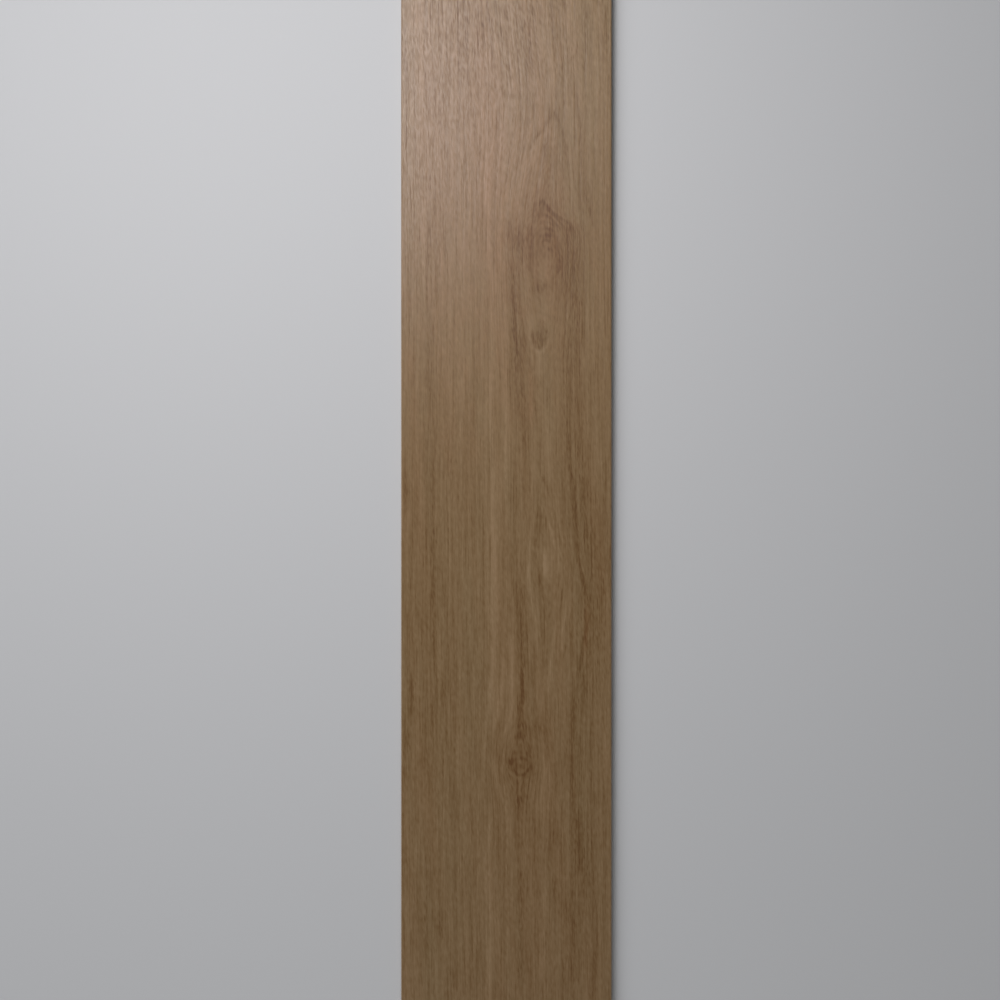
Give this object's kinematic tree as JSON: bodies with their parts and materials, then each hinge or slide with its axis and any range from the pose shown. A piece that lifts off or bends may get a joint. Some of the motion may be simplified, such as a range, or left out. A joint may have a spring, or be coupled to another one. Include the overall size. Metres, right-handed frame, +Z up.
{
  "type": "wood look porcelain plank tile",
  "caption": "Long rectangular porcelain floor tile with a printed oak look matt face, ground micro-bevelled edges and a back keyed with shallow square cells.",
  "frame": {"origin": "middle of the back, on the plane of the keying ribs that the tile rests on", "axes": "+X across the plank, +Y along it and +Z up out of the printed face"},
  "size_m": [0.2, 1.2, 0.0095],
  "materials": {
    "porcelain": "matt glaze over an inkjet printed oak figure, on a dense fired body"
  },
  "bodies": {
    "root": {"plank_tile": "porcelain"}
  },
  "joints": []
}
